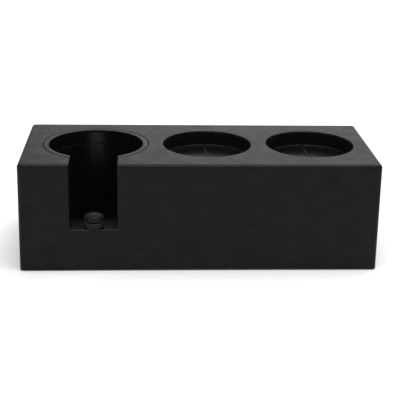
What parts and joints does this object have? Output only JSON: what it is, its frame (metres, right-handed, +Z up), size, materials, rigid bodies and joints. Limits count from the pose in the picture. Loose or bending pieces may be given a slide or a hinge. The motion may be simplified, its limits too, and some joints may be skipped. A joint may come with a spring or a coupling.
{
  "type": "espresso tamping station",
  "caption": "Matte black moulded tamping station with a slotted portafilter bay and loose seat ring, shallow wells for hand tools, and a screw adjuster under the handle.",
  "frame": {"origin": "on the worktop, under the middle of the base, feet included", "axes": "+X along the length with the portafilter bay towards -X, the front with the handle slot at -Y, +Z up"},
  "size_m": [0.25, 0.102, 0.0774],
  "materials": {
    "housing_abs": "fine matte moulded grain",
    "ring_abs": "fine matte moulded grain",
    "grip_nylon": "fluted, satin",
    "pad_rubber": "smooth, soft sheen",
    "screw_steel": "zinc plated",
    "insert_brass": "turned",
    "base_abs": "plain matte",
    "fastener_steel": "zinc plated",
    "foot_rubber": "matte"
  },
  "bodies": {
    "station": {"housing": "housing_abs", "threaded_insert": "insert_brass", "base_plate": "base_abs", "base_screws": "fastener_steel", "foot_front_left": "foot_rubber", "foot_front_right": "foot_rubber", "foot_back_left": "foot_rubber", "foot_back_right": "foot_rubber"},
    "ring": {"portafilter_ring": "ring_abs"},
    "pad": {"adjuster_pad": "pad_rubber"},
    "screw": {"adjuster_screw": "screw_steel", "adjuster_grip": "grip_nylon"}
  },
  "joints": [
    {"name": "ring_lift", "type": "slide", "parent": "station", "child": "ring", "axis": [0, 0, 1], "range_m": [0, 0.03]},
    {"name": "adjuster_lift", "type": "slide", "parent": "station", "child": "pad", "axis": [0, 0, 1], "range_m": [0, 0.01]},
    {"name": "adjuster_turn", "type": "hinge", "parent": "pad", "child": "screw", "pos_m": [-0.0734, -0.0443, 0.0306], "axis": [0, 0, 1], "range_deg": [0, 3600]}
  ],
  "couplings": [
    {"joint": "adjuster_turn", "follows": "adjuster_lift", "rad_per_m": 6283.2}
  ]
}
